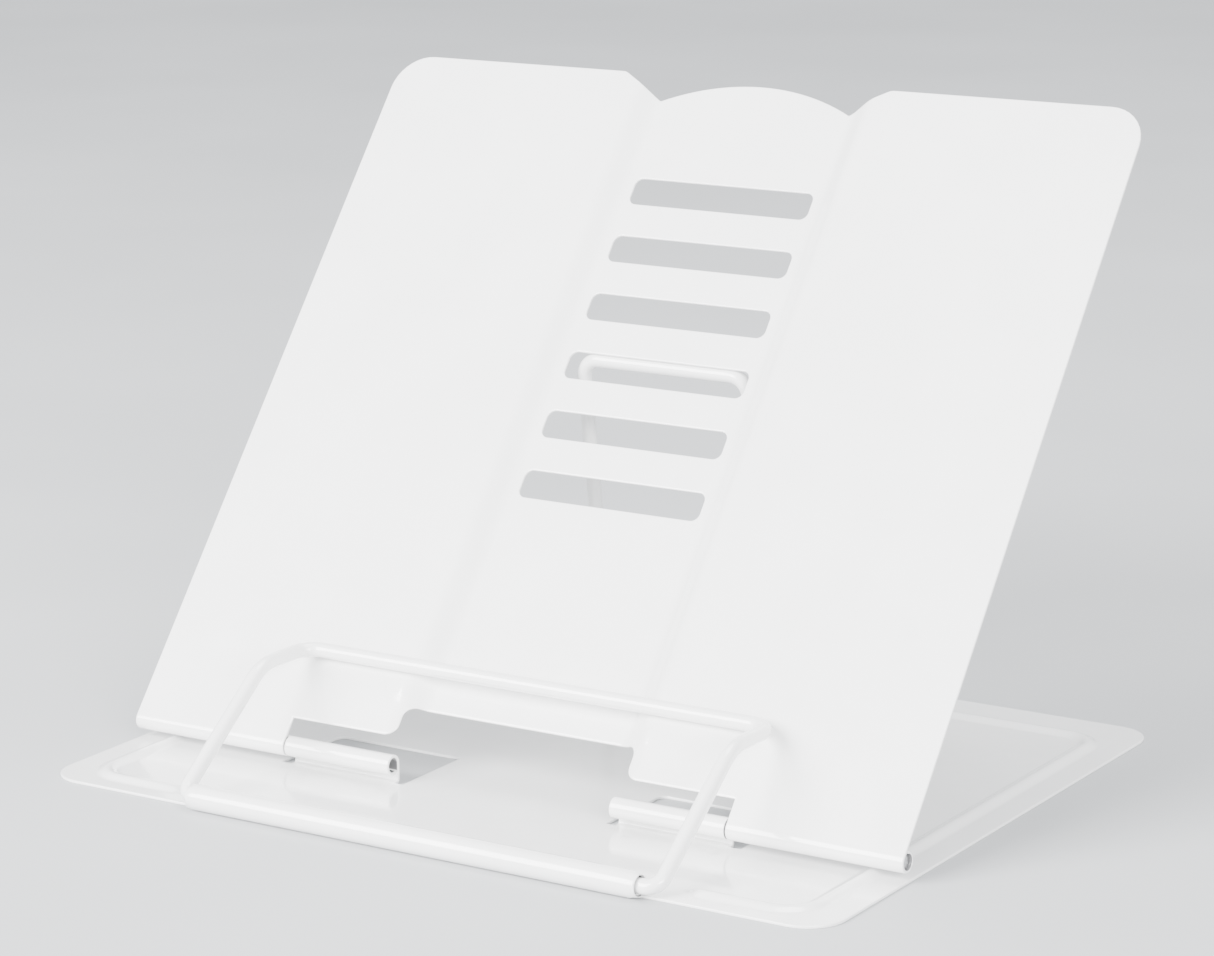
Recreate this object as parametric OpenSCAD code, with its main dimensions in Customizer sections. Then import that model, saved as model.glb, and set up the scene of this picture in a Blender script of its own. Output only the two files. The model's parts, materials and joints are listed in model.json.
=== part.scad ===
// Folding sheet-metal book and document stand.
// Frame: X across, Y from front to back, +Z up.  The origin is on the desk,
// under the middle of the stand.  Sizes are in millimetres, angles in degrees.

/* [Base] */
// Width of the base and of the back plate
width = 205; // [190:1:230]
// Depth of the stand, from the front roll to the rear edge of the base
depth = 163.7; // [155:0.1:185]
// Thickness of the steel sheet
sheet = 0.7; // [0.6:0.1:0.8]
// Radius of the base's corners
base_corner_r = 9; // [6:0.5:12]
// Outer diameter of the roll along the front edge
roll_d = 5.9; // [5.6:0.1:6.6]
// Length of the roll along the front edge
roll_len = 118; // [100:1:130]
// Height of the stiffening bead above the sheet
bead_h = 1; // [0.6:0.1:1.4]
// Width of the stiffening bead
bead_w = 4.5; // [4:0.1:6]
// Distance from the middle of the base to the inner end of a front bead
bead_stop_x = 69.3; // [66:0.1:75]

/* [Hinge] */
// Distance from the front of the stand back to the hinge axis
hinge_setback = 39.6; // [37:0.1:43]
// Height of the hinge axis above the desk
hinge_h = 4.9; // [4.8:0.1:6]
// Diameter of the two hinge pins
pin_d = 3.4; // [3:0.1:3.8]
// Running clearance round a pin
clearance = 0.05; // [0.03:0.01:0.1]
// Distance from the middle to the inner end of a base knuckle
knuckle_in_x = 29.6; // [27:0.1:32]
// Distance from the middle to the outer end of a base knuckle
knuckle_out_x = 58.9; // [50:0.1:62]

/* [Back plate] */
// Tilt of the back plate above the desk
tilt = 51.3; // [45:0.1:58]
// Length of the back plate, from the hinge axis to its top edge
plate_len = 183.5; // [181:0.1:190]
// Radius of the back plate's top corners
plate_corner_r = 9.5; // [6:0.5:12]
// Depth of the channel pressed down the middle of the plate
channel_depth = 3; // [2:0.1:3.5]
// Half the width of the channel at its mouth
channel_mouth_x = 32; // [31:0.1:34]
// Half the width of the channel's flat floor
channel_floor_x = 26.8; // [26:0.1:28]
// Number of slots
slots = 6; // [3:1:6]
// Width of a slot
slot_w = 48.8; // [47:0.1:50]
// Height of a slot
slot_h = 7.1; // [6:0.1:8]
// Distance from one slot to the next
slot_pitch = 15.8; // [14:0.1:16]
// Distance from the hinge axis to the lower edge of the lowest slot
slot_start = 70; // [67:0.1:73]

/* [Page holder] */
// Diameter of the page holder's wire
holder_d = 3.5; // [3:0.1:3.6]
// Length of a page holder's leg, from the roll's axis to its bend
holder_leg_len = 37.6; // [36:0.1:40]
// Length of each wire end inside the front roll
holder_end_len = 25; // [15:1:35]
// Distance that the loose page holder sits to the right of the middle
holder_offset_x = 1; // [-1:0.1:1]

/* [Support rod] */
// Diameter of the support rod's wire
rod_d = 3.5; // [3:0.1:3.6]
// Distance from the middle to the centre of a leg
rod_leg_x = 22.4; // [20:0.1:22.4]
// Distance from the hinge axis back to the rod's pivot
rod_setback = 81.1; // [80:0.1:83]
// Height of the rod's pivot above the desk
rod_pivot_h = 3.4; // [3.3:0.1:3.7]
// Distance along the plate from the hinge axis to the rod's bar
rod_bar_s = 108.3; // [107:0.1:110]

/* [Hidden] */
$fn = 72;
enamel = "whitesmoke";
steel = "silver";
cut = 1;                // how far a cutting solid runs past the sheet
body_gap = 0.3;         // space between pieces that move on each other

// Wire is cut to the nearest tenth of a millimetre
function trimmed(length) = round(length * 10) / 10;

// Base
front_y = -depth / 2;
rear_y = depth / 2;
roll_r = roll_d / 2;
roll_y = front_y + roll_r;
edge_y = roll_y + 0.75;               // front edge of the sheet beside the roll
bead_side_x = width / 2 - 9;
bead_rear_y = rear_y - 12.5;
bead_front_y = edge_y + 6.7;
bead_bend_r = 8;
hinge_y = front_y + hinge_setback;
pin_r = pin_d / 2;
tab_face_y = hinge_y + pin_r;
window_in_x = knuckle_in_x - 2.2;
window_out_x = knuckle_out_x + 2.6;
window_depth = 23.2;
window_corner_r = 2;
tab_bend_r = 0.5;
tab_relief = 1;                       // slits beside a tab's root
tab_root = tab_bend_r + tab_relief;
window_front_y = tab_face_y - tab_root;

// Back plate, measured from the hinge axis
eye_r = pin_r + clearance;
plate_back = eye_r;
plate_front = plate_back + sheet;      // the sheet passes in front of the pins
eye_in_x = knuckle_out_x + body_gap;
hinge_notch_s = 6.1;
channel_notch_s = 14.3;
channel_notch_x = 31;
notch_corner_r = 3;
crown_side_x = 26;
crown_drop = 6;
crown_r = (crown_side_x * crown_side_x + crown_drop * crown_drop) / (2 * crown_drop);
shoulder_x = 36.5;
slot_corner_r = 2;

// Hinge pins
pin_out_x = width / 2 - 0.6;
pin_in_x = 36;
pin_chamfer = 0.3;

// Page holder
holder_r = holder_d / 2;
holder_bend_r = 5;
holder_foot_bend_r = 3.2;
holder_rise = [4, 3, 5];              // a leg goes 4 back and 3 up in 5 along
holder_leg_angle = atan2(holder_rise[1], holder_rise[0]);
holder_kink_r = 12;
holder_leg_x = roll_len / 2 + 3.4;
holder_bar_lift = plate_front + body_gap + holder_r;
holder_kink_y = roll_y + holder_leg_len * holder_rise[0] / holder_rise[2];
holder_bar_z = roll_r + holder_leg_len * holder_rise[1] / holder_rise[2];
holder_bar_s = (holder_bar_z - hinge_h - holder_bar_lift * cos(tilt)) / sin(tilt);
holder_bar_y = hinge_y + holder_bar_s * cos(tilt) - holder_bar_lift * sin(tilt);
holder_arm_len = trimmed(holder_bar_y - holder_kink_y);

// Support rod
rod_r = rod_d / 2;
rod_bend_r = 4.5;
rod_foot_bend_r = 4;
rod_y = hinge_y + rod_setback;
rod_bar_drop = channel_depth - plate_back + body_gap + rod_r;
rod_bar_y = hinge_y + rod_bar_s * cos(tilt) + rod_bar_drop * sin(tilt);
rod_bar_z = hinge_h + rod_bar_s * sin(tilt) - rod_bar_drop * cos(tilt);
rod_angle = atan2(rod_bar_z - rod_pivot_h, rod_bar_y - rod_y);
rod_len = trimmed(norm([rod_bar_y - rod_y, rod_bar_z - rod_pivot_h]));
rod_eye_r = rod_r + clearance;
rod_tab_x = 16.5;
rod_tab_face_y = rod_y + rod_eye_r;
rod_window_x = rod_tab_x + 2;
rod_window_depth = 15;
rod_end_x = 5;

// Rectangle with four round corners, from corner [x0, y0] to corner [x1, y1]
module rounded_rect(x0, y0, x1, y1, r) {
    translate([x0 + r, y0]) square([x1 - x0 - 2 * r, y1 - y0]);
    translate([x0, y0 + r]) square([x1 - x0, y1 - y0 - 2 * r]);
    for (x = [x0 + r, x1 - r], y = [y0 + r, y1 - r])
        translate([x, y]) circle(r = r);
}

// Everything given, and its mirror image across the middle of the stand
module both_sides() {
    children();
    mirror([1, 0, 0]) children();
}

// Sheet curled round the X axis, from x0 to x1, with inner radius r.  The curl is
// open between two angles, which run from +Y towards +Z.
module curl(x0, x1, r, open_from, open_to) {
    far = 4 * (r + sheet);
    middle = (open_from + open_to) / 2;
    translate([x0, 0, 0])
        rotate([90, 0, 90])
            linear_extrude(x1 - x0)
                difference() {
                    circle(r = r + sheet);
                    circle(r = r);
                    polygon([[0, 0], for (a = [open_from, middle, open_to])
                             far * [cos(a), sin(a)]]);
                }
}

// Tab bent up from the base sheet and curled forward round [y, z].
// Its front face is tangent to the bore of the curl, of radius r.
module curled_tab(x0, x1, y, z, r) {
    face_y = y + r;
    translate([x0, face_y - tab_root, 0])
        cube([x1 - x0, tab_relief, sheet]);
    translate([0, face_y - tab_bend_r, sheet + tab_bend_r])
        curl(x0, x1, tab_bend_r, 0, 270);
    translate([x0, face_y, sheet + tab_bend_r])
        cube([x1 - x0, sheet, z - sheet - tab_bend_r]);
    translate([0, y, z])
        curl(x0, x1, r, -60, 0);
}

// Cross-section of the bead's outer or inner face: a flat arc on the X axis
module bead_section(w, h) {
    arc_r = (w * w / 4 + h * h) / (2 * h);
    intersection() {
        translate([0, h - arc_r]) circle(r = arc_r);
        translate([-w / 2, 0]) square([w, h]);
    }
}

// One side's run of bead: front stub, two bends, side and half of the rear
module bead_run(w, h, z) {
    straight_y = bead_rear_y - bead_front_y - 2 * bead_bend_r;
    bend_x = bead_side_x - bead_bend_r;
    translate([0, 0, z]) {
        translate([bead_stop_x, bead_front_y, 0])
            rotate([90, 0, 90])
                linear_extrude(bend_x - bead_stop_x) bead_section(w, h);
        translate([bead_stop_x, bead_front_y, 0])
            rotate([0, 0, 90])
                rotate_extrude(angle = 180) bead_half_section(w, h);
        translate([bend_x, bead_front_y + bead_bend_r, 0])
            rotate([0, 0, -90])
                rotate_extrude(angle = 90) translate([bead_bend_r, 0]) bead_section(w, h);
        translate([bead_side_x, bead_rear_y - bead_bend_r, 0])
            rotate([90, 0, 0])
                linear_extrude(straight_y) bead_section(w, h);
        translate([bend_x, bead_rear_y - bead_bend_r, 0])
            rotate_extrude(angle = 90) translate([bead_bend_r, 0]) bead_section(w, h);
        translate([0, bead_rear_y, 0])
            rotate([90, 0, 90])
                linear_extrude(bend_x) bead_section(w, h);
    }
}

// Half of the bead's section, turned to make the bead's round end
module bead_half_section(w, h) {
    intersection() {
        bead_section(w, h);
        square([w, h]);
    }
}

// Flat outline of the base, with the windows its tabs were cut from
module base_outline() {
    difference() {
        union() {
            rounded_rect(-width / 2, edge_y, width / 2, rear_y, base_corner_r);
            translate([-roll_len / 2, roll_y]) square([roll_len, 2]);
        }
        for (x = [-window_out_x, window_in_x]) hinge_window(x);
        rounded_rect(-rod_window_x, rod_tab_face_y - tab_root,
                     rod_window_x, rod_tab_face_y + rod_window_depth, 1);
    }
}

// Window behind one base knuckle, from x to the right.  Only its rear left corner
// is round, on both sides of the stand.
module hinge_window(x) {
    w = window_out_x - window_in_x;
    r = window_corner_r;
    translate([x, window_front_y]) {
        square([w, window_depth - r]);
        translate([r, 0]) square([w - r, window_depth]);
        translate([r, window_depth - r]) circle(r = r);
    }
}

module base_plate() {
    color(enamel) {
        difference() {
            union() {
                linear_extrude(sheet) base_outline();
                both_sides() bead_run(bead_w, bead_h, sheet);
            }
            both_sides() bead_run(bead_w - 2 * sheet, bead_h, 0);
        }
        translate([0, roll_y, roll_r])
            curl(-roll_len / 2, roll_len / 2, roll_r - sheet, -90, -38);
        both_sides()
            curled_tab(knuckle_in_x, knuckle_out_x, hinge_y, hinge_h, pin_r);
        curled_tab(-rod_tab_x, rod_tab_x, rod_y, rod_pivot_h, rod_eye_r);
    }
}

// Outline of the back plate, seen square on, with its hinge line on the X axis
module plate_outline() {
    difference() {
        union() {
            translate([-width / 2, 0]) square([width, plate_len - plate_corner_r]);
            translate([-width / 2, plate_len / 2])
                rounded_rect(0, 0, width, plate_len / 2, plate_corner_r);
        }
        translate([-eye_in_x, -cut]) square([2 * eye_in_x, hinge_notch_s + cut]);
        rounded_rect(-channel_notch_x, -cut, channel_notch_x, channel_notch_s, notch_corner_r);
        both_sides() notch_lip();
        difference() {
            translate([0, plate_len - crown_drop])
                polygon([[-shoulder_x, crown_drop], [-crown_side_x, 0], [crown_side_x, 0],
                         [shoulder_x, crown_drop], [shoulder_x, 2 * crown_drop],
                         [-shoulder_x, 2 * crown_drop]]);
            translate([0, plate_len - crown_r]) circle(r = crown_r);
        }
        for (i = [0 : slots - 1])
            translate([-slot_w / 2, slot_start + i * slot_pitch])
                rounded_rect(0, 0, slot_w, slot_h, slot_corner_r);
    }
}

// What is cut away to round the corner between the hinge notch and the channel notch
module notch_lip() {
    translate([channel_notch_x, hinge_notch_s])
        difference() {
            translate([-cut, -cut]) square(notch_corner_r + cut);
            translate([notch_corner_r, notch_corner_r]) circle(r = notch_corner_r);
        }
}

// Section across the back plate: flat sides and the pressed channel
module plate_section() {
    fold = atan(channel_depth / (channel_mouth_x - channel_floor_x));
    spread = sheet * tan(fold / 2);
    edge_x = -width / 2 - cut;
    side = [[edge_x, plate_front], [-channel_mouth_x, plate_front],
            [-channel_floor_x, plate_front - channel_depth]];
    under = [[-channel_floor_x - spread, plate_back - channel_depth],
             [-channel_mouth_x - spread, plate_back], [edge_x, plate_back]];
    mirrored = function (p) [-p[0], p[1]];
    polygon([for (p = side) p,
             mirrored(side[2]), mirrored(side[1]), mirrored(side[0]),
             mirrored(under[2]), mirrored(under[1]), mirrored(under[0]),
             for (p = under) p]);
}

module back_plate() {
    color(enamel)
        translate([0, hinge_y, hinge_h])
            rotate([tilt, 0, 0]) {
                intersection() {
                    translate([0, plate_len + cut, 0])
                        rotate([90, 0, 0]) linear_extrude(plate_len + 2 * cut) plate_section();
                    translate([0, 0, plate_back - channel_depth - cut])
                        linear_extrude(channel_depth + sheet + 2 * cut) plate_outline();
                }
                both_sides() curl(eye_in_x, width / 2, eye_r, 36, 90);
            }
}

module hinge_pin() {
    translate([pin_in_x, hinge_y, hinge_h])
        rotate([0, 90, 0]) {
            length = pin_out_x - pin_in_x;
            cylinder(r1 = pin_r - pin_chamfer, r2 = pin_r, h = pin_chamfer);
            translate([0, 0, pin_chamfer])
                cylinder(r = pin_r, h = length - 2 * pin_chamfer);
            translate([0, 0, length - pin_chamfer])
                cylinder(r1 = pin_r, r2 = pin_r - pin_chamfer, h = pin_chamfer);
        }
}

module hinge_pin_left() {
    color(steel) mirror([1, 0, 0]) hinge_pin();
}

module hinge_pin_right() {
    color(steel) hinge_pin();
}

// Straight wire along +X from [x, y], in the XY plane
module wire_x(x, y, length, r) {
    translate([x, y, 0]) rotate([0, 90, 0]) cylinder(r = r, h = length);
}

// Straight wire along +Y from [x, y], in the XY plane
module wire_y(x, y, length, r) {
    translate([x, y, 0]) rotate([-90, 0, 0]) cylinder(r = r, h = length);
}

// Bent wire in the XY plane, round [x, y], from the angle start over turn
module wire_bend(x, y, bend_r, start, turn, r) {
    translate([x, y, 0])
        rotate([0, 0, start])
            rotate_extrude(angle = turn) translate([bend_r, 0]) circle(r = r);
}

// Support rod: a U of wire whose feet turn inwards into the rod tab
module support_rod() {
    leg_top = rod_len - rod_bend_r;
    color(enamel)
        translate([0, rod_y, rod_pivot_h])
            rotate([rod_angle, 0, 0])
                both_sides() {
                    wire_x(rod_end_x, 0, rod_leg_x - rod_foot_bend_r - rod_end_x, rod_r);
                    wire_bend(rod_leg_x - rod_foot_bend_r, rod_foot_bend_r,
                              rod_foot_bend_r, -90, 90, rod_r);
                    wire_y(rod_leg_x, rod_foot_bend_r, leg_top - rod_foot_bend_r, rod_r);
                    wire_bend(rod_leg_x - rod_bend_r, leg_top, rod_bend_r, 0, 90, rod_r);
                    wire_x(0, rod_len, rod_leg_x - rod_bend_r, rod_r);
                }
}

// Bend between a leg and the arm of the page holder: the part of a ring of
// wire that lies between square to the arm and square to the leg
module holder_kink() {
    intersection() {
        rotate_extrude() translate([holder_kink_r, 0]) circle(r = holder_r);
        translate([0, 0, -holder_d])
            linear_extrude(2 * holder_d)
                polygon(holder_rise[2] * [[0, 0], [0, holder_rise[0]],
                                          [-holder_rise[1], holder_rise[0]]]);
    }
}

// Page holder: a wire frame whose ends turn inwards into the front roll
module page_holder() {
    kink_len = holder_kink_r * holder_rise[1] / (holder_rise[0] + holder_rise[2]);
    end_x = roll_len / 2 - holder_end_len;
    foot_x = holder_leg_x - holder_foot_bend_r;
    corner_x = holder_leg_x - holder_bend_r;
    color(enamel)
        translate([holder_offset_x, 0, 0]) both_sides() {
            translate([0, roll_y, roll_r])
                rotate([holder_leg_angle, 0, 0]) {
                    wire_x(end_x, 0, foot_x - end_x, holder_r);
                    wire_bend(foot_x, holder_foot_bend_r, holder_foot_bend_r, -90, 90, holder_r);
                    wire_y(holder_leg_x, holder_foot_bend_r,
                           holder_leg_len - kink_len - holder_foot_bend_r, holder_r);
                }
            translate([0, holder_kink_y, holder_bar_z]) {
                translate([holder_leg_x, kink_len, -holder_kink_r])
                    rotate([90, 0, 90]) holder_kink();
                wire_y(holder_leg_x, kink_len, holder_arm_len - kink_len - holder_bend_r, holder_r);
                wire_bend(corner_x, holder_arm_len - holder_bend_r, holder_bend_r, 0, 90, holder_r);
                wire_x(0, holder_arm_len, corner_x, holder_r);
            }
        }
}

base_plate();
back_plate();
hinge_pin_left();
hinge_pin_right();
support_rod();
page_holder();
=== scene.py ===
"""A folding sheet-metal book stand: the looks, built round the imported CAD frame.

Lengths are in metres and angles in degrees.  The two pressed sheets are drawn as flat
blanks, with their holes, and then bent and embossed into shape as the real ones are.
"""
import json
import math

import bpy
import numpy as np
from mathutils import Euler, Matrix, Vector
from mathutils.geometry import delaunay_2d_cdt


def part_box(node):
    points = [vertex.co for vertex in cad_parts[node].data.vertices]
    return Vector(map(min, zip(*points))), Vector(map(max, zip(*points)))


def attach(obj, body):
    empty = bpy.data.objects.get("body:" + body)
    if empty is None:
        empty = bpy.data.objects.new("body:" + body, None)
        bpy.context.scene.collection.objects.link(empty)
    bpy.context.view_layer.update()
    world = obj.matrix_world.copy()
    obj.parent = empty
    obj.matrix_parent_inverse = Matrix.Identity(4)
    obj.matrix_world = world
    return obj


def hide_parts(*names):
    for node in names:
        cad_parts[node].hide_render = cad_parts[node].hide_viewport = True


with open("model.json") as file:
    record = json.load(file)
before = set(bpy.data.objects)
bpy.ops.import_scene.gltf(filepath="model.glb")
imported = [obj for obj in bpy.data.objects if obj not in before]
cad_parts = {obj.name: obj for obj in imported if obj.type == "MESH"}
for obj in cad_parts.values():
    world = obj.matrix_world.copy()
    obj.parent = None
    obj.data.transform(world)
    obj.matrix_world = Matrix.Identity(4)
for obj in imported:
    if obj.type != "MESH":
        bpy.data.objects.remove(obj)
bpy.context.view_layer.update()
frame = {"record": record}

# ---------------------------------------------------------------- sizes

MM = 0.001
SHEET = 0.7 * MM              # thickness of both sheets
EDGE_ROUND = 0.22 * MM        # paint-rounded corner of a cut edge
EDGE_MARGIN = 0.55 * MM       # flat strip kept beside a cut edge
EDGE_STEP = 3 * MM            # longest side of a mesh face along a plain edge or a curl
CURL_STEP = 0.3 * MM          # and round a curl
CURL_GAP = 0.15 * MM          # mesh points keep this far from the edges of a curl
OPEN_GAP = 1.5 * MM           # and from the edges elsewhere

joints = {j["name"]: j for j in frame["record"]["behaviour"]["joints"]}
HINGE = Vector(joints["plate_fold"]["pos_m"])
ROD_PIVOT = Vector(joints["support_fold"]["pos_m"])
ROLL = Vector(joints["page_holder_swing"]["pos_m"])

base_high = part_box("base_plate")[1]
plate_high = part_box("back_plate")[1]
holder_low, holder_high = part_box("page_holder")
rod_low, rod_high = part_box("support_rod")
pin_low, pin_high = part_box("hinge_pin_right")

HALF_WIDTH = base_high[0]
REAR_Y = base_high[1]
EDGE_Y = ROLL.y + 0.75 * MM   # front edge of the base beside the roll
ROLL_HALF = 59 * MM           # half the length of the roll
PIN_R = (pin_high[2] - pin_low[2]) / 2
EYE_R = PIN_R + 0.05 * MM     # bore of the back plate's curls
WIRE_R = 1.75 * MM            # both wires
KNUCKLE_X = (29.6 * MM, 58.9 * MM)   # inner and outer end of a knuckle of the base
EYE_X = 59.2 * MM             # inner end of a curl of the back plate
TILT = 51.3                   # of the back plate above the desk


def turned(degrees):
    """Unit vector at an angle from the first axis towards the second."""
    return math.cos(math.radians(degrees)), math.sin(math.radians(degrees))


# ---------------------------------------------------------------- camera, stage and lights

def make_camera():
    data = bpy.data.cameras.new("camera")
    data.sensor_width = 36
    data.lens = 117.07
    camera = bpy.data.objects.new("camera", data)
    camera.location = (0.47196, -0.73932, 0.27539)
    camera.rotation_euler = Euler([math.radians(a) for a in (76.622, 0.534, 32.333)])
    bpy.context.scene.collection.objects.link(camera)
    bpy.context.scene.camera = camera


def area_light(name, place, target, size, power, colour=(1, 1, 1)):
    data = bpy.data.lights.new(name, "AREA")
    data.shape = "RECTANGLE"
    data.size, data.size_y = size
    data.energy = power
    data.color = colour
    light = bpy.data.objects.new(name, data)
    light.location = place
    light.rotation_euler = (Vector(target) - Vector(place)).to_track_quat("-Z", "Y").to_euler()
    bpy.context.scene.collection.objects.link(light)


def make_lights():
    middle = (0, 0, 0.06)
    area_light("key", (-0.7, -1.4, 0.85), middle, (1.1, 1.1), 125)
    area_light("fill", (1.2, -0.9, 0.6), middle, (0.8, 0.5), 40)
    area_light("top", (0.1, 0.3, 1.6), middle, (1.0, 0.6), 20)
    world = bpy.data.worlds.new("studio")
    bpy.context.scene.world = world
    world.use_nodes = True
    background = world.node_tree.nodes["Background"]
    background.inputs["Color"].default_value = (0.95, 0.97, 1, 1)
    background.inputs["Strength"].default_value = 1.5


# ---------------------------------------------------------------- materials

class Nodes:
    """A new material and short ways to add and join its nodes."""

    def __init__(self, name):
        self.material = bpy.data.materials.new(name)
        self.material.use_nodes = True
        self.tree = self.material.node_tree
        self.shader = self.tree.nodes["Principled BSDF"]

    def add(self, kind, **inputs):
        node = self.tree.nodes.new(kind)
        for key, value in inputs.items():
            node.inputs[key.replace("_", " ")].default_value = value
        return node

    def join(self, source, target, key):
        self.tree.links.new(source, target.inputs[key])

    def place(self, scale=(1, 1, 1)):
        """Where a point lies on its own piece, stretched along the axes."""
        coords = self.tree.nodes.new("ShaderNodeTexCoord")
        mapping = self.add("ShaderNodeMapping", Scale=scale)
        self.join(coords.outputs["Object"], mapping, "Vector")
        return mapping.outputs["Vector"]

    def noise(self, place, scale, detail=2.0, roughness=0.5):
        node = self.add("ShaderNodeTexNoise", Scale=scale, Detail=detail, Roughness=roughness)
        self.join(place, node, "Vector")
        return node.outputs["Fac"]

    def spread(self, value, low, high, start=0.3, end=0.7):
        """Map a noise value from start..end on to low..high."""
        node = self.tree.nodes.new("ShaderNodeMapRange")
        for key, number in (("From Min", start), ("From Max", end), ("To Min", low), ("To Max", high)):
            node.inputs[key].default_value = number
        self.join(value, node, "Value")
        return node.outputs["Result"]

    def ramp(self, value, dark, light):
        node = self.tree.nodes.new("ShaderNodeValToRGB")
        node.color_ramp.elements[0].color = dark
        node.color_ramp.elements[1].color = light
        node.color_ramp.elements[0].position = 0.3
        node.color_ramp.elements[1].position = 0.7
        self.join(value, node, "Fac")
        return node.outputs["Color"]

    def bump(self, height, distance, strength=1.0, under=None):
        node = self.add("ShaderNodeBump", Distance=distance, Strength=strength)
        self.join(height, node, "Height")
        if under is not None:
            self.join(under, node, "Normal")
        return node.outputs["Normal"]

    def reach(self, place, *steps):
        """Length of the vector left after steps (operation, vector) on a place."""
        for operation, vector in steps + (("LENGTH", (0, 0, 0)),):
            node = self.tree.nodes.new("ShaderNodeVectorMath")
            node.operation = operation
            node.inputs[1].default_value = vector
            self.tree.links.new(place, node.inputs[0])
            place = node.outputs["Value" if operation == "LENGTH" else "Vector"]
        return place

    def compare(self, value, operation, limit):
        """1 where the test of the value against the limit holds, else 0."""
        node = self.tree.nodes.new("ShaderNodeMath")
        node.operation = operation
        node.inputs[1].default_value = limit
        self.tree.links.new(value, node.inputs[0])
        return node.outputs["Value"]

    def within(self, place, axis, radius, inner):
        """1 nearer than radius to the line along X through axis and past inner from the middle."""
        near = self.compare(self.reach(place, ("SUBTRACT", axis), ("MULTIPLY", (0, 1, 1))),
                            "LESS_THAN", radius)
        past = self.compare(self.reach(place, ("MULTIPLY", (1, 0, 0))), "GREATER_THAN", inner)
        both = self.tree.nodes.new("ShaderNodeMath")
        both.operation = "MULTIPLY"
        self.tree.links.new(near, both.inputs[0])
        self.tree.links.new(past, both.inputs[1])
        return both.outputs["Value"]

    def mix(self, amount, under, over):
        """The colour under, with the fixed colour over laid on it where amount is 1."""
        node = self.tree.nodes.new("ShaderNodeMixRGB")
        node.inputs["Color2"].default_value = over
        self.join(under, node, "Color1")
        self.join(amount, node, "Fac")
        return node.outputs["Color"]


WHITE = (0.86, 0.86, 0.855, 1), (0.9, 0.9, 0.895, 1)
# painted shade: the dark colour laid inside the bores of the curls and the roll
BORE_PAINTED_SHADE = (0.2, 0.2, 0.205, 1)


def enamel(name, shaded_bores=()):
    """Glossy stoved enamel on steel: orange peel, faint mottling and uneven gloss.

    Each bore (axis, radius, inner end) gets a dark colour inside: painted shade standing for the deep
    shade within the tube.
    """
    m = Nodes(name)
    place = m.place()
    mottle = m.noise(place, 45, detail=3)
    colour = m.ramp(mottle, *WHITE)
    for axis, radius, inner in shaded_bores:
        # painted shade: the dark colour is mixed over the white wherever a point lies inside a bore
        colour = m.mix(m.within(place, axis, radius, inner), colour, BORE_PAINTED_SHADE)
    m.join(colour, m.shader, "Base Color")
    haze = m.noise(place, 160, detail=4, roughness=0.6)
    m.join(m.spread(haze, 0.14, 0.26), m.shader, "Roughness")
    wave = m.bump(m.noise(place, 28, detail=1), 0.12 * MM, 0.35)
    peel = m.bump(m.noise(place, 620, detail=1.5), 0.012 * MM, 0.5, under=wave)
    m.join(peel, m.shader, "Normal")
    m.shader.inputs["IOR"].default_value = 1.5
    m.shader.inputs["Coat Weight"].default_value = 1
    m.shader.inputs["Coat Roughness"].default_value = 0.06
    m.join(peel, m.shader, "Coat Normal")
    return m.material


def bare_steel(name):
    """Bright drawn steel with fine turning marks round the pin."""
    m = Nodes(name)
    streaks = m.noise(m.place((220, 1, 1)), 18, detail=3)
    m.join(m.ramp(streaks, (0.62, 0.62, 0.63, 1), (0.8, 0.8, 0.81, 1)), m.shader, "Base Color")
    m.join(m.spread(streaks, 0.22, 0.36), m.shader, "Roughness")
    m.shader.inputs["Metallic"].default_value = 1
    m.join(m.bump(streaks, 0.02 * MM, 0.6), m.shader, "Normal")
    return m.material


def pale_floor(name):
    """Matt pale grey, faintly clouded."""
    m = Nodes(name)
    m.join(m.ramp(m.noise(m.place(), 6), (0.44, 0.45, 0.46, 1), (0.48, 0.49, 0.50, 1)),
           m.shader, "Base Color")
    m.shader.inputs["Roughness"].default_value = 0.7
    return m.material


# ---------------------------------------------------------------- flat blanks

def rounded_outline(corners, step):
    """Closed line through corners (x, y, radius), with a point at least every step(p, q)."""
    points = []
    count = len(corners)
    arcs = []
    for i, (x, y, r) in enumerate(corners):
        here = Vector((x, y))
        before = here - Vector(corners[i - 1][:2])
        after = Vector(corners[(i + 1) % count][:2]) - here
        before.normalize()
        after.normalize()
        turn = math.atan2(before.cross(after), before.dot(after))
        if r == 0 or abs(turn) < 1e-6:
            arcs.append([here])
            continue
        side = math.copysign(1, turn)
        start = here - before * r * math.tan(abs(turn) / 2)
        centre = start + Vector((-before.y, before.x)) * r * side
        pieces = max(2, math.ceil(abs(turn) / math.radians(10)))
        arm = start - centre
        arcs.append([centre + Vector((arm.x * math.cos(a) - arm.y * math.sin(a),
                                      arm.x * math.sin(a) + arm.y * math.cos(a)))
                     for a in (turn * k / pieces for k in range(pieces + 1))])
    for i, arc in enumerate(arcs):
        points.extend(arc)
        p, q = arc[-1], arcs[(i + 1) % count][0]
        parts = max(1, math.ceil((q - p).length / step(p, q)))
        points.extend(p.lerp(q, k / parts) for k in range(1, parts))
    return np.array([tuple(p) for p in points])


def inset(loop, depth):
    """The loop moved to its left by depth, which is into the sheet."""
    ahead = np.roll(loop, -1, axis=0) - loop
    ahead /= np.linalg.norm(ahead, axis=1)[:, None]
    behind = np.roll(ahead, 1, axis=0)
    left = np.stack([-ahead[:, 1] - behind[:, 1], ahead[:, 0] + behind[:, 0]], axis=1)
    left /= np.linalg.norm(left, axis=1)[:, None]
    reach = np.sqrt((1 + (ahead * behind).sum(axis=1)) / 2)
    return loop + left * (depth / reach)[:, None]


def segments_of(loops):
    starts = np.concatenate(loops)
    ends = np.concatenate([np.roll(loop, -1, axis=0) for loop in loops])
    return starts, ends


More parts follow.
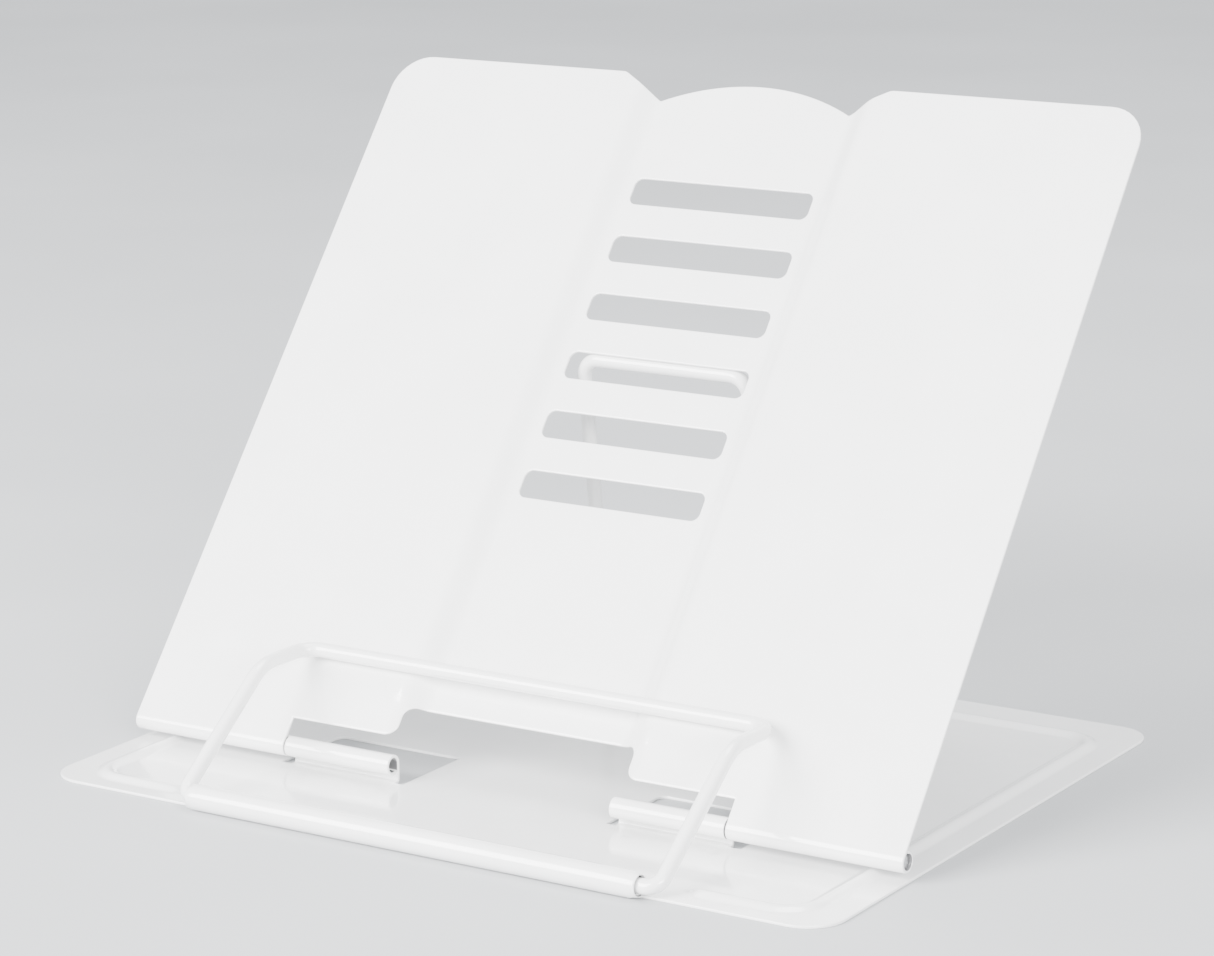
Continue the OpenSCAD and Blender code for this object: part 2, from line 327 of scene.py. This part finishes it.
def inside(points, loops):
    """Which points lie in the sheet: inside the outline and outside the holes."""
    a, b = segments_of(loops)
    found = np.zeros(len(points), bool)
    for k in range(0, len(points), 2000):
        x, y = points[k:k + 2000, 0:1], points[k:k + 2000, 1:2]
        spans = (a[:, 1] > y) != (b[:, 1] > y)
        rise = np.where(b[:, 1] == a[:, 1], 1, b[:, 1] - a[:, 1])
        crossing = a[:, 0] + (y - a[:, 1]) / rise * (b[:, 0] - a[:, 0])
        found[k:k + 2000] = (spans & (x < crossing)).sum(axis=1) % 2 == 1
    return found


def clear_of(points, loops, gap):
    """Which points are at least gap away from every edge."""
    a, b = segments_of(loops)
    along = b - a
    length2 = (along ** 2).sum(axis=1)
    far = np.zeros(len(points), bool)
    for k in range(0, len(points), 2000):
        p = points[k:k + 2000, None, :]
        t = np.clip(((p - a) * along).sum(axis=2) / length2, 0, 1)
        nearest = a + t[:, :, None] * along
        far[k:k + 2000] = ((p - nearest) ** 2).sum(axis=2).min(axis=1) > gap ** 2
    return far


def grid(x_range, y_range, dx, dy):
    xs = np.linspace(*x_range, max(2, round((x_range[1] - x_range[0]) / dx) + 1))
    ys = np.linspace(*y_range, max(2, round((y_range[1] - y_range[0]) / dy) + 1))
    return np.array([(x, y) for x in xs for y in ys])


def sheet_mesh(name, loops, fillers, middle):
    """A sheet of even thickness with softly rounded cut edges.

    loops are its outline, then its holes, with the metal on their left.  fillers are
    (points, gap) sets of extra points.  middle(x, y) is where a point of the flat
    blank lies in the finished sheet's middle surface.
    """
    half = SHEET / 2
    arc = [turned(a) for a in (90, 60, 30, 0)]
    profile = [(EDGE_ROUND * (1 - c), half - EDGE_ROUND * (1 - s)) for c, s in arc]
    profile = [(EDGE_MARGIN, half)] + profile
    profile += [(depth, -height) for depth, height in reversed(profile)]
    rims = [inset(loop, EDGE_MARGIN) for loop in loops]
    flat = list(rims)
    for points, gap in fillers:
        points = points[inside(points, rims)]
        points = points[clear_of(points, rims, gap)]
        flat.append(points)
    flat = np.concatenate(flat)
    edges = []
    start = 0
    for rim in rims:
        n = len(rim)
        edges += [(start + i, start + (i + 1) % n) for i in range(n)]
        start += n
    made = delaunay_2d_cdt([Vector(p) for p in flat], edges, [], 0, 1e-9)
    new_points, _, triangles, first = made[:4]
    spots = np.array([tuple(p) for p in new_points])
    centres = spots[np.array(triangles)].mean(axis=1)
    triangles = [t for t, keep in zip(triangles, inside(centres, rims)) if keep]
    row_of = {ids[0]: i for i, ids in enumerate(first) if ids}

    def lifted(points, height):
        step = 1e-5
        x, y = points[:, 0], points[:, 1]
        across = middle(x + step, y) - middle(x - step, y)
        along = middle(x, y + step) - middle(x, y - step)
        normal = np.cross(across, along)
        normal /= np.linalg.norm(normal, axis=1)[:, None]
        return middle(x, y) + normal * height

    vertices = [lifted(spots, half), lifted(spots, -half)]
    total = 2 * len(spots)
    faces = [tuple(t) for t in triangles]
    faces += [tuple(i + len(spots) for i in reversed(t)) for t in triangles]
    start = 0
    for loop, rim in zip(loops, rims):
        n = len(loop)
        rows = [[row_of[start + i] for i in range(n)]]
        for depth, height in profile[1:-1]:
            vertices.append(lifted(inset(loop, depth), height))
            rows.append(list(range(total, total + n)))
            total += n
        rows.append([row_of[start + i] + len(spots) for i in range(n)])
        for upper, lower in zip(rows, rows[1:]):
            faces += [(upper[i - 1], lower[i - 1], lower[i], upper[i]) for i in range(n)]
        start += n
    mesh = bpy.data.meshes.new(name)
    mesh.from_pydata(np.concatenate(vertices).tolist(), [], faces)
    mesh.shade_smooth()
    mesh.validate()
    return new_object(name, mesh)


def new_object(name, mesh):
    piece = bpy.data.objects.new(name, mesh)
    bpy.context.scene.collection.objects.link(piece)
    return piece


def bent(start, heading, parts, distance):
    """Where a strip is after it has run some distances along straight and bent parts.

    parts are (length, turn): degrees turned over that length, 0 where it is straight.
    """
    place = np.empty((len(distance), 2))
    here = np.array(start, float)
    left = np.array(distance, float)
    done = np.zeros(len(left), bool)
    for k, (length, turn) in enumerate(parts):
        last = k == len(parts) - 1
        now = ~done & ((left <= length) | last)

        def moved(d):
            if turn == 0:
                c, s = turned(heading)
                return here + np.outer(d, (c, s))
            radius = length / math.radians(turn)
            angle = np.radians(heading) + d / radius
            return here + radius * np.stack(
                [np.sin(angle) - math.sin(math.radians(heading)),
                 math.cos(math.radians(heading)) - np.cos(angle)], axis=1)

        place[now] = moved(left[now])
        done |= now
        here = moved(np.array([length]))[0]
        heading += turn
        left = left - length
    return place


def arc_length(radius, degrees):
    return radius * math.radians(degrees)


# ---------------------------------------------------------------- base

ROLL_MID_R = ROLL.z - SHEET / 2
ROLL_TURN = 308
ROLL_START = ROLL.y - arc_length(ROLL_MID_R, ROLL_TURN)     # end of the roll on the flat blank
BASE_CORNER_R = 9 * MM
WINDOW_CORNER_R = 2 * MM                                    # at the rear left of each window
TAB_BEND_R = 0.85 * MM                                      # middle of the sheet
TAB_RELIEF = 1.5 * MM                                       # from a tab's face to its window
TAB_CURL = 300
BEAD_SIDE_X = HALF_WIDTH - 9 * MM
BEAD_REAR_Y = REAR_Y - 12.5 * MM
BEAD_FRONT_Y = EDGE_Y + 6.7 * MM
BEAD_STOP_X = 69.3 * MM
BEAD_TURN_R = 8 * MM
BEAD_HEIGHT = 1 * MM
BEAD_HALF = 2.7 * MM


class Tab:
    """A tongue left in a window of the base, bent up and curled forward round an axis."""

    def __init__(self, low_x, high_x, axis, bore, window):
        self.low_x, self.high_x = low_x, high_x
        self.face = axis.y + bore
        self.root = self.face - 0.5 * MM
        self.window = window                                # low x, rear y, high x
        self.parts = [(arc_length(TAB_BEND_R, 90), 90),
                      (axis.z - SHEET / 2 - TAB_BEND_R, 0),
                      (arc_length(bore + SHEET / 2, TAB_CURL), TAB_CURL)]
        self.end = self.root + sum(length for length, _ in self.parts)

    def hole(self, low_r, high_r):
        """The window round the tongue, clockwise, with its two rear corner radii."""
        front = self.face - TAB_RELIEF
        low, rear, high = self.window
        corners = [(low, front, 0), (low, rear, low_r), (high, rear, high_r), (high, front, 0),
                   (self.high_x, front, 0), (self.high_x, self.end, 0),
                   (self.low_x, self.end, 0), (self.low_x, front, 0)]
        return rounded_outline(corners, self.step)

    def step(self, p, q):
        on_tongue = p.x == q.x and self.low_x <= p.x <= self.high_x
        return CURL_STEP if on_tongue else EDGE_STEP

    def filler(self):
        front = self.face - TAB_RELIEF
        rows = math.ceil((self.end - front) / CURL_STEP)
        return grid((self.low_x + 2 * MM, self.high_x - 2 * MM), (front, self.end),
                    EDGE_STEP, (self.end - front) / rows)

    def holds(self, x, y):
        near = 0.3 * MM
        on_width = (x > self.low_x - near) & (x < self.high_x + near)
        return on_width & (y > self.root) & (y < self.end + near)

    def place(self, y):
        return bent((self.root, SHEET / 2), 0, self.parts, y - self.root)


HINGE_WINDOW = (27.4 * MM, HINGE.y + PIN_R + 21.7 * MM, 61.5 * MM)
hinge_tab = Tab(*KNUCKLE_X, HINGE, PIN_R, HINGE_WINDOW)
rod_tab = Tab(-16.5 * MM, 16.5 * MM, ROD_PIVOT, WIRE_R + 0.05 * MM,
              (-18.5 * MM, ROD_PIVOT.y + WIRE_R + 15.05 * MM, 18.5 * MM))


def mirrored(points):
    """Points, or a loop, on the other side of the middle, with its metal still on the left."""
    return (points * (-1, 1))[::-1]


def bead_gap(x, y):
    """How far a point is from the bead's centre line, a round-cornered frame open at the front."""
    middle_y = (BEAD_REAR_Y + BEAD_FRONT_Y) / 2
    past_x = np.abs(x) - (BEAD_SIDE_X - BEAD_TURN_R)
    past_y = np.abs(y - middle_y) - (BEAD_REAR_Y - middle_y - BEAD_TURN_R)
    from_core = np.hypot(np.maximum(past_x, 0), np.maximum(past_y, 0))
    from_core += np.minimum(np.maximum(past_x, past_y), 0)
    to_end = np.hypot(BEAD_STOP_X - np.abs(x), y - BEAD_FRONT_Y)
    in_opening = (y < middle_y) & (np.abs(x) < BEAD_STOP_X)
    return np.where(in_opening, to_end, np.abs(from_core - BEAD_TURN_R))


def bead_height(x, y):
    return BEAD_HEIGHT * (0.5 + 0.5 * np.cos(math.pi * np.clip(bead_gap(x, y) / BEAD_HALF, 0, 1)))


def bead_filler():
    """Rows of points along the bead, close together across it."""
    line = rounded_outline([(0, BEAD_FRONT_Y, 0), (BEAD_SIDE_X, BEAD_FRONT_Y, BEAD_TURN_R),
                            (BEAD_SIDE_X, BEAD_REAR_Y, BEAD_TURN_R), (0, BEAD_REAR_Y, 0)],
                           lambda p, q: 1.5 * MM)
    on_rear = (line[:, 1] > BEAD_REAR_Y - 1 * MM) & (line[:, 0] > 0.5 * MM)
    line = line[(line[:, 0] > BEAD_STOP_X - 4 * MM) | on_rear]
    right = np.concatenate([moved_left(line, d) for d in np.linspace(-3.6 * MM, 3.6 * MM, 17)])
    return np.concatenate([right, mirrored(right)])


def moved_left(line, distance):
    """An open line moved to its left."""
    ahead = np.gradient(line, axis=0)
    ahead /= np.linalg.norm(ahead, axis=1)[:, None]
    return line + distance * np.stack([-ahead[:, 1], ahead[:, 0]], axis=1)


def base_middle(x, y):
    place = np.stack([x, y, SHEET / 2 + bead_height(x, y)], axis=1)
    on_roll = y < ROLL.y
    turn = [(arc_length(ROLL_MID_R, ROLL_TURN), -ROLL_TURN)]
    place[on_roll, 1:] = bent((ROLL.y, SHEET / 2), 180, turn, ROLL.y - y[on_roll])
    for tab, side in ((hinge_tab, 1), (hinge_tab, -1), (rod_tab, 1)):
        held = tab.holds(side * x, y)
        place[held, 1:] = tab.place(y[held])
    return place


def base_step(p, q):
    on_roll_end = p.x == q.x and abs(p.x) == ROLL_HALF
    return CURL_STEP if on_roll_end else EDGE_STEP


def make_base():
    r = BASE_CORNER_R
    corners = [(-ROLL_HALF, ROLL_START, 0), (ROLL_HALF, ROLL_START, 0), (ROLL_HALF, EDGE_Y, 0),
               (HALF_WIDTH, EDGE_Y, r), (HALF_WIDTH, REAR_Y, r),
               (-HALF_WIDTH, REAR_Y, r), (-HALF_WIDTH, EDGE_Y, r), (-ROLL_HALF, EDGE_Y, 0)]
    outline = rounded_outline(corners, base_step)
    right_window = hinge_tab.hole(WINDOW_CORNER_R, 0)
    left_window = mirrored(hinge_tab.hole(0, WINDOW_CORNER_R))
    loops = [outline, right_window, left_window, rod_tab.hole(1 * MM, 1 * MM)]
    roll_rows = math.ceil((EDGE_Y - ROLL_START) / CURL_STEP)
    roll = grid((-ROLL_HALF + 2 * MM, ROLL_HALF - 2 * MM), (ROLL_START, EDGE_Y),
                EDGE_STEP, (EDGE_Y - ROLL_START) / roll_rows)
    tongue = hinge_tab.filler()
    open_sheet = grid((-HALF_WIDTH, HALF_WIDTH), (EDGE_Y + 2 * MM, REAR_Y), 4.5 * MM, 4.5 * MM)
    x, y = open_sheet[:, 0], open_sheet[:, 1]
    bead_free = bead_gap(x, y) > 4.5 * MM
    tab_free = ~(hinge_tab.holds(np.abs(x), y) | rod_tab.holds(x, y))
    fillers = [(roll, CURL_GAP), (tongue, CURL_GAP), (mirrored(tongue), CURL_GAP),
               (rod_tab.filler(), CURL_GAP), (bead_filler(), 0.4 * MM),
               (open_sheet[bead_free & tab_free], OPEN_GAP)]
    return sheet_mesh("base_sheet", loops, fillers, base_middle)


# ---------------------------------------------------------------- back plate

SIN_TILT, COS_TILT = math.sin(math.radians(TILT)), math.cos(math.radians(TILT))
PLATE_LEN = (plate_high[2] - HINGE.z - (EYE_R + SHEET) * COS_TILT) / SIN_TILT
EYE_MID_R = EYE_R + SHEET / 2
EYE_TURN = 306
EYE_START = -arc_length(EYE_MID_R, EYE_TURN)        # end of the curls on the flat blank
CHANNEL_MOUTH = 32 * MM
CHANNEL_FLOOR = 26.8 * MM
CHANNEL_DEPTH = 3 * MM
FOLD_SOFT = 1.4 * MM                                # half the width of each soft fold
SLOT_COUNT = 6
SLOT_PITCH = 15.8 * MM
SLOT = (24.4 * MM, 70 * MM, 7.1 * MM, 2 * MM)     # half width, start, height, corner radius
CROWN_X = 26 * MM
CROWN_DROP = 6 * MM
CROWN_R = (CROWN_X ** 2 + CROWN_DROP ** 2) / (2 * CROWN_DROP)
EYE_ROWS_END = 2 * MM


def soft_ramp(t):
    """0 below zero and t above it, with a rounded corner between."""
    curve = (t + FOLD_SOFT) ** 2 / (4 * FOLD_SOFT)
    return np.where(t < -FOLD_SOFT, 0, np.where(t > FOLD_SOFT, t, curve))


def plate_middle(x, s):
    """x across the plate and s up it from the hinge axis."""
    slope = CHANNEL_DEPTH / (CHANNEL_MOUTH - CHANNEL_FLOOR)
    dip = slope * (soft_ramp(CHANNEL_MOUTH - np.abs(x)) - soft_ramp(CHANNEL_FLOOR - np.abs(x)))
    local = np.stack([s, EYE_MID_R - dip], axis=1)
    on_eye = s < 0
    turn = [(-EYE_START, EYE_TURN)]
    local[on_eye] = bent((0, EYE_MID_R), 180, turn, -s[on_eye])
    up, out = local[:, 0], local[:, 1]
    return np.stack([x, HINGE.y + up * COS_TILT - out * SIN_TILT,
                     HINGE.z + up * SIN_TILT + out * COS_TILT], axis=1)


def plate_step(p, q):
    if max(p.y, q.y) <= EYE_ROWS_END + 0.1 * MM and p.x == q.x:
        return CURL_STEP
    return 0.7 * MM if abs(q.x - p.x) > abs(q.y - p.y) else 4 * MM


def plate_outline():
    notch, channel_notch = 6.1 * MM, (31 * MM, 14.3 * MM)
    shoulder = 36.5 * MM
    right = [(channel_notch[0], channel_notch[1], 3 * MM), (channel_notch[0], notch, 3 * MM),
             (EYE_X, notch, 0), (EYE_X, EYE_ROWS_END, 0), (EYE_X, EYE_START, 0),
             (HALF_WIDTH, EYE_START, 0), (HALF_WIDTH, EYE_ROWS_END, 0),
             (HALF_WIDTH, PLATE_LEN, 9.5 * MM), (shoulder, PLATE_LEN, 3 * MM),
             (CROWN_X, PLATE_LEN - CROWN_DROP, 0.8 * MM)]
    crown_half = math.asin(CROWN_X / CROWN_R)
    crown = [(CROWN_R * math.sin(a), PLATE_LEN - CROWN_R + CROWN_R * math.cos(a), 0)
             for a in np.linspace(crown_half, -crown_half, 25)[1:-1]]
    left = [(-x, s, r) for x, s, r in reversed(right)]
    return rounded_outline(right + crown + left, plate_step)


def slot_outline(start):
    half, _, height, r = SLOT
    corners = [(-half, start, r), (-half, start + height, r),
               (half, start + height, r), (half, start, r)]
    return rounded_outline(corners, lambda p, q: EDGE_STEP)


def make_plate():
    loops = [plate_outline()]
    loops += [slot_outline(SLOT[1] + i * SLOT_PITCH) for i in range(SLOT_COUNT)]
    eye_rows = math.ceil((EYE_ROWS_END - EYE_START) / CURL_STEP)
    eye = grid((EYE_X + 2 * MM, HALF_WIDTH - 2 * MM), (EYE_START, EYE_ROWS_END),
               EDGE_STEP, (EYE_ROWS_END - EYE_START) / eye_rows)
    fold = grid((24.6 * MM, 34.6 * MM), (0, PLATE_LEN), 0.7 * MM, 5 * MM)
    face = grid((-HALF_WIDTH, HALF_WIDTH), (4 * MM, PLATE_LEN), 6 * MM, 6 * MM)
    off_fold = np.abs(np.abs(face[:, 0]) - 29.6 * MM) > 6.5 * MM
    fillers = [(eye, CURL_GAP), (mirrored(eye), CURL_GAP), (fold, 0.3 * MM),
               (mirrored(fold), 0.3 * MM), (face[off_fold], OPEN_GAP)]
    return sheet_mesh("back_sheet", loops, fillers, plate_middle)


# ---------------------------------------------------------------- wires and pins

def rounded_path(corners):
    """Points along a wire through corners (x, y, z, bend radius)."""
    spots = [Vector(c[:3]) for c in corners]
    path = [spots[0]]
    for i, (here, (_, _, _, r)) in enumerate(zip(spots, corners)):
        if i in (0, len(spots) - 1):
            continue
        back, ahead = (spots[i - 1] - here).normalized(), (spots[i + 1] - here).normalized()
        half = back.angle(ahead) / 2
        centre = here + (back + ahead).normalized() * (r / math.sin(half))
        first, last = here + back * (r / math.tan(half)), here + ahead * (r / math.tan(half))
        turn = math.pi - 2 * half
        pieces = math.ceil(turn / math.radians(5))
        for k in range(pieces + 1):
            a = turn * k / pieces
            arm = (first - centre) * math.sin(turn - a) + (last - centre) * math.sin(a)
            path.append(centre + arm / math.sin(turn))
    path.append(spots[-1])
    return path


def tube(name, path, radii, sides=32):
    """A smooth tube along path, with a radius at each point and flat ends."""
    ahead = (path[1] - path[0]).normalized()
    side = ahead.orthogonal().normalized()
    vertices, faces = [], []
    for i, (spot, r) in enumerate(zip(path, radii)):
        before = (spot - path[max(i - 1, 0)]).normalized()
        after = (path[min(i + 1, len(path) - 1)] - spot).normalized()
        now = (before + after).normalized()
        side = ahead.rotation_difference(now) @ side
        ahead = now
        over = ahead.cross(side)
        vertices += [spot + (side * c + over * s) * r
                     for c, s in (turned(360 * k / sides) for k in range(sides))]
    for i in range(len(path) - 1):
        for k in range(sides):
            a, b = i * sides + k, i * sides + (k + 1) % sides
            faces.append((a, b, b + sides, a + sides))
    last = (len(path) - 1) * sides
    faces.append(tuple(range(sides))[::-1])
    faces.append(tuple(range(last, last + sides)))
    mesh = bpy.data.meshes.new(name)
    mesh.from_pydata([tuple(v) for v in vertices], [], faces)
    mesh.shade_smooth()
    for face in mesh.polygons[-2:]:
        face.use_smooth = False
    return new_object(name, mesh)


def wire(name, corners, r, chamfer):
    """A bent wire whose cut ends are chamfered."""
    path = rounded_path(corners)
    first = path[0].lerp(path[1], chamfer / (path[1] - path[0]).length)
    last = path[-1].lerp(path[-2], chamfer / (path[-2] - path[-1]).length)
    path = [path[0], first] + path[1:-1] + [last, path[-1]]
    return tube(name, path, [r - chamfer] + [r] * (len(path) - 2) + [r - chamfer])


LEG_SLOPE = 3 / 4             # of the page holder's legs
CUT_CHAMFER = 0.35 * MM       # of both wires' cut ends


def make_rod():
    leg = rod_high[0] - WIRE_R
    end = 5 * MM
    bar_y, bar_z = rod_low[1] + WIRE_R, rod_high[2] - WIRE_R
    right = [(end, ROD_PIVOT.y, ROD_PIVOT.z, 0), (leg, ROD_PIVOT.y, ROD_PIVOT.z, 4 * MM),
             (leg, bar_y, bar_z, 4.5 * MM)]
    left = [(-x, y, z, r) for x, y, z, r in reversed(right)]
    return wire("support_wire", right + left, WIRE_R, CUT_CHAMFER)


def make_holder():
    middle = (holder_low[0] + holder_high[0]) / 2
    leg = (holder_high[0] - holder_low[0]) / 2 - WIRE_R
    end = 34 * MM
    bar_y, bar_z = holder_high[1] - WIRE_R, holder_high[2] - WIRE_R
    kink_y = ROLL.y + (bar_z - ROLL.z) / LEG_SLOPE
    right = [(end, ROLL.y, ROLL.z, 0), (leg, ROLL.y, ROLL.z, 3.2 * MM), (leg, kink_y, bar_z, 12 * MM),
             (leg, bar_y, bar_z, 5 * MM)]
    left = [(-x, y, z, r) for x, y, z, r in reversed(right)]
    corners = [(middle + x, y, z, r) for x, y, z, r in right + left]
    return wire("page_holder_wire", corners, WIRE_R, CUT_CHAMFER)


def make_pin(name, low, high):
    """A hinge pin with chamfered, slightly domed ends."""
    end = [(0, 0.25), (0.02, 0.55), (0.06, 0.8), (0.1, 0.86), (0.35, 0.985), (0.45, 1)]
    start = [(low[0] + depth * MM, r) for depth, r in end]
    stop = [(high[0] - depth * MM, r) for depth, r in reversed(end)]
    path = [Vector((x, HINGE.y, HINGE.z)) for x, _ in start + stop]
    return tube(name, path, [PIN_R * r for _, r in start + stop])


# ---------------------------------------------------------------- floor and assembly

FLOOR_HALF = 6.0


def make_floor():
    mesh = bpy.data.meshes.new("floor")
    corners = [(x * FLOOR_HALF, y * FLOOR_HALF, 0) for x, y in ((-1, -1), (1, -1), (1, 1), (-1, 1))]
    mesh.from_pydata(corners, [], [(0, 1, 2, 3)])
    return new_object("floor", mesh)


make_camera()
make_lights()

floor = make_floor()

base = make_base()
plate = make_plate()
rod = make_rod()
holder = make_holder()
left_pin = make_pin("left_hinge_pin", *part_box("hinge_pin_left"))
right_pin = make_pin("right_hinge_pin", *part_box("hinge_pin_right"))

floor.data.materials.append(pale_floor("pale_floor"))
# painted shade inside the knuckles, the roll and the back plate's curls
knuckle_bore_shade = (HINGE, PIN_R + 0.65 * MM, KNUCKLE_X[0] + 0.3 * MM)
roll_bore_shade = (ROLL, ROLL.z - SHEET + 0.1 * MM, 0)
eye_bore_shade = (HINGE, EYE_R + 0.1 * MM, 0)
base.data.materials.append(enamel("base_enamel", (knuckle_bore_shade, roll_bore_shade)))
plate.data.materials.append(enamel("plate_enamel", (eye_bore_shade,)))
rod.data.materials.append(enamel("rod_enamel"))
holder.data.materials.append(enamel("holder_enamel"))
steel = bare_steel("drawn_steel")
left_pin.data.materials.append(steel)
right_pin.data.materials.append(steel)

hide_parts("base_plate")
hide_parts("back_plate")
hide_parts("support_rod")
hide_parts("page_holder")
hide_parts("hinge_pin_left")
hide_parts("hinge_pin_right")

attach(base, "base")
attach(left_pin, "base")
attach(right_pin, "base")
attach(plate, "plate")
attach(rod, "support")
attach(holder, "holder")
